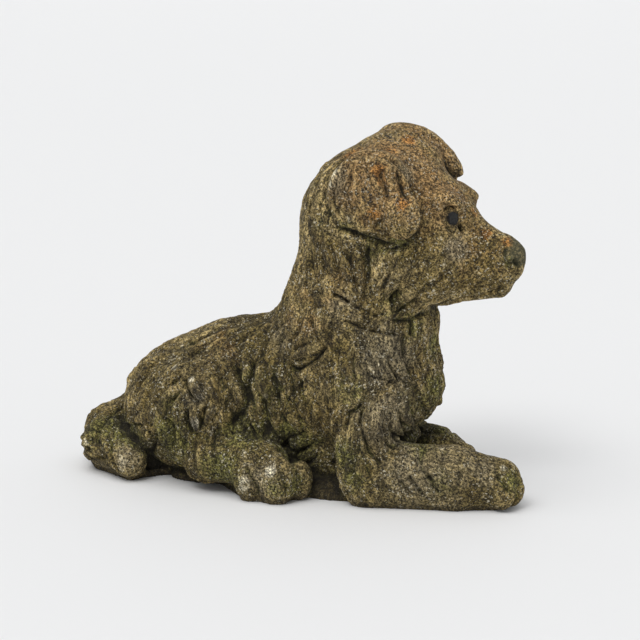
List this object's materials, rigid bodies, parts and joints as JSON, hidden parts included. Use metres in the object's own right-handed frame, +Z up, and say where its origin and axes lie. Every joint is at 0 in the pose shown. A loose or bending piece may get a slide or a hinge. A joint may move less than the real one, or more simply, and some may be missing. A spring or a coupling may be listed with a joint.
{
  "type": "garden statue",
  "caption": "Weathered cast-stone statue of a young terrier lying down with its head raised, on a thin base of its own.",
  "frame": {"origin": "middle of the bounding box on the flat underside", "axes": "+X forward to the nose, +Y to the dog's left side, +Z up"},
  "size_m": [0.42, 0.164, 0.3187],
  "materials": {
    "stone": "weathered sandy cast stone with moss and lichen"
  },
  "bodies": {
    "root": {"terrier": "stone"}
  },
  "joints": []
}
